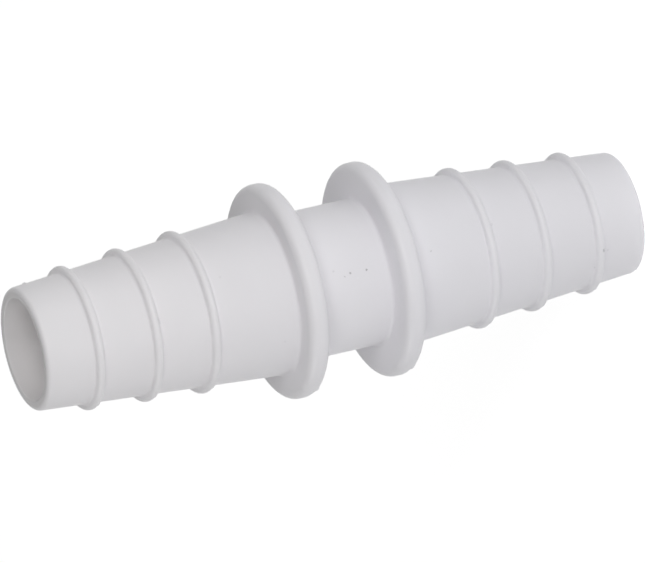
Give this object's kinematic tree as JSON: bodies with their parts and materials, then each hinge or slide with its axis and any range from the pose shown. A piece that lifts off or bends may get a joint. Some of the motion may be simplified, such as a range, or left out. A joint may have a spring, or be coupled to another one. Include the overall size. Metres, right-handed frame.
{
  "type": "hose adapter",
  "caption": "Straight moulded coupling that joins two hoses, with a tapered ringed spigot at each end and a plain barrel between round-rimmed flanges.",
  "frame": {"origin": "centre of the lower tip's end face, on the surface that the adapter stands on", "axes": "+Z along the axis of the bore, from the lower tip to the upper tip; X and Y are alike"},
  "size_m": [0.032, 0.032, 0.095],
  "materials": {
    "moulding": "satin as-moulded off-white polypropylene, slightly milky"
  },
  "bodies": {
    "root": {"adapter_body": "moulding"}
  },
  "joints": []
}
